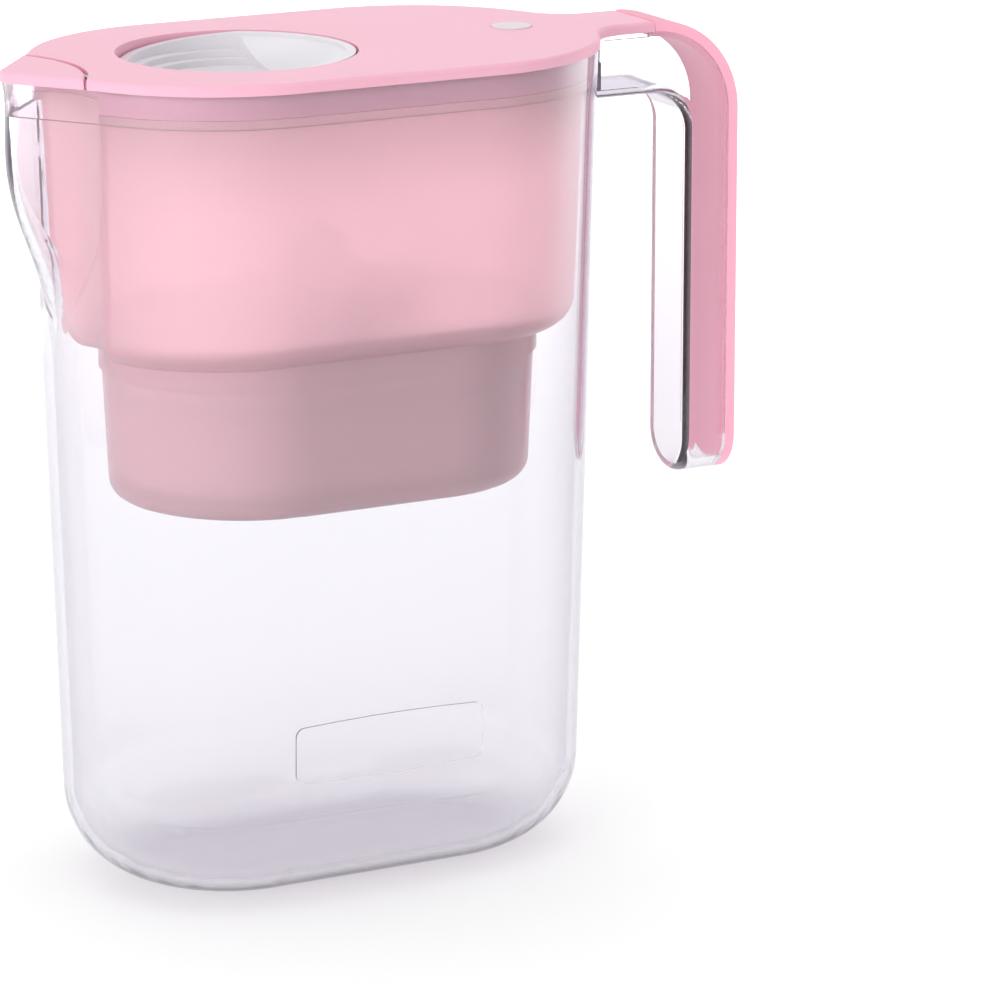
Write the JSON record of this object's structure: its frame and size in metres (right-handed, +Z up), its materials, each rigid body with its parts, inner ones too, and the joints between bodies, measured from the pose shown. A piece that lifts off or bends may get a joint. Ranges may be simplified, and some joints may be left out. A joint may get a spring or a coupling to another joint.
{
  "type": "water filter pitcher",
  "caption": "Clear racetrack-shaped water filter jug with pour spout and channel handle, lid with spout and fill flaps, hanging hopper and drop-in filter cartridge.",
  "frame": {"origin": "middle of the jug's flat underside", "axes": "+X from the spout towards the handle, +Y across the jug, +Z up"},
  "size_m": [0.2208, 0.105, 0.2329],
  "materials": {
    "clear_plastic": "clear moulded plastic, polished",
    "pink_plastic": "opaque moulded plastic, fine satin",
    "pink_clear_plastic": "translucent moulded plastic, polished",
    "white_plastic": "moulded plastic, satin",
    "lens_plastic": "milky moulded plastic",
    "silicone": "moulded silicone, matte",
    "fibre_felt": "needled felt",
    "filter_media": "packed granules",
    "steel": "drawn wire and stamped strip",
    "circuit_board": "glass-fibre laminate",
    "black_plastic": "moulded housing",
    "lamp_plastic": "clear cast resin"
  },
  "bodies": {
    "jug": {"pitcher_body": "clear_plastic", "handle_cover": "pink_plastic"},
    "hopper_body": {"hopper": "pink_clear_plastic"},
    "cartridge": {"cartridge_cup": "white_plastic", "cartridge_cap": "white_plastic", "cartridge_seal": "silicone", "cartridge_top_pad": "fibre_felt", "cartridge_media": "filter_media", "cartridge_bottom_pad": "fibre_felt"},
    "lid_body": {"lid": "pink_plastic", "spout_flap_pin": "steel", "fill_flap_pin": "steel", "indicator_board": "circuit_board", "indicator_switch": "black_plastic", "indicator_led": "lamp_plastic", "coin_cell": "steel", "cell_contact_top": "steel", "cell_contact_base": "steel", "indicator_seal": "silicone", "indicator_cover": "white_plastic", "indicator_screws": "steel"},
    "spout_flap_body": {"spout_flap": "pink_plastic"},
    "fill_flap_body": {"fill_flap": "white_plastic", "fill_flap_spring": "steel"},
    "button": {"indicator_button": "lens_plastic"}
  },
  "joints": [
    {"name": "hopper_lift", "type": "slide", "parent": "jug", "child": "hopper_body", "axis": [0, 0, 1], "range_m": [0, 0.14]},
    {"name": "cartridge_lift", "type": "slide", "parent": "hopper_body", "child": "cartridge", "axis": [0, 0, 1], "range_m": [0, 0.12]},
    {"name": "lid_lift", "type": "slide", "parent": "cartridge", "child": "lid_body", "axis": [0, 0, 1], "range_m": [0, 0.06]},
    {"name": "spout_flap_tilt", "type": "hinge", "parent": "lid_body", "child": "spout_flap_body", "pos_m": [-0.0743, 0, 0.2314], "axis": [0, 1, 0], "range_deg": [0, 60]},
    {"name": "fill_flap_swing", "type": "hinge", "parent": "lid_body", "child": "fill_flap_body", "pos_m": [0.012, 0, 0.226], "axis": [0, -1, 0], "range_deg": [0, 60], "stiffness_Nm_per_rad": 0.01, "springref_deg": -51.57},
    {"name": "button_press", "type": "slide", "parent": "lid_body", "child": "button", "axis": [0, 0, -1], "range_m": [0, 0.0006], "stiffness_N_per_m": 500, "springref_m": -0.0004}
  ]
}
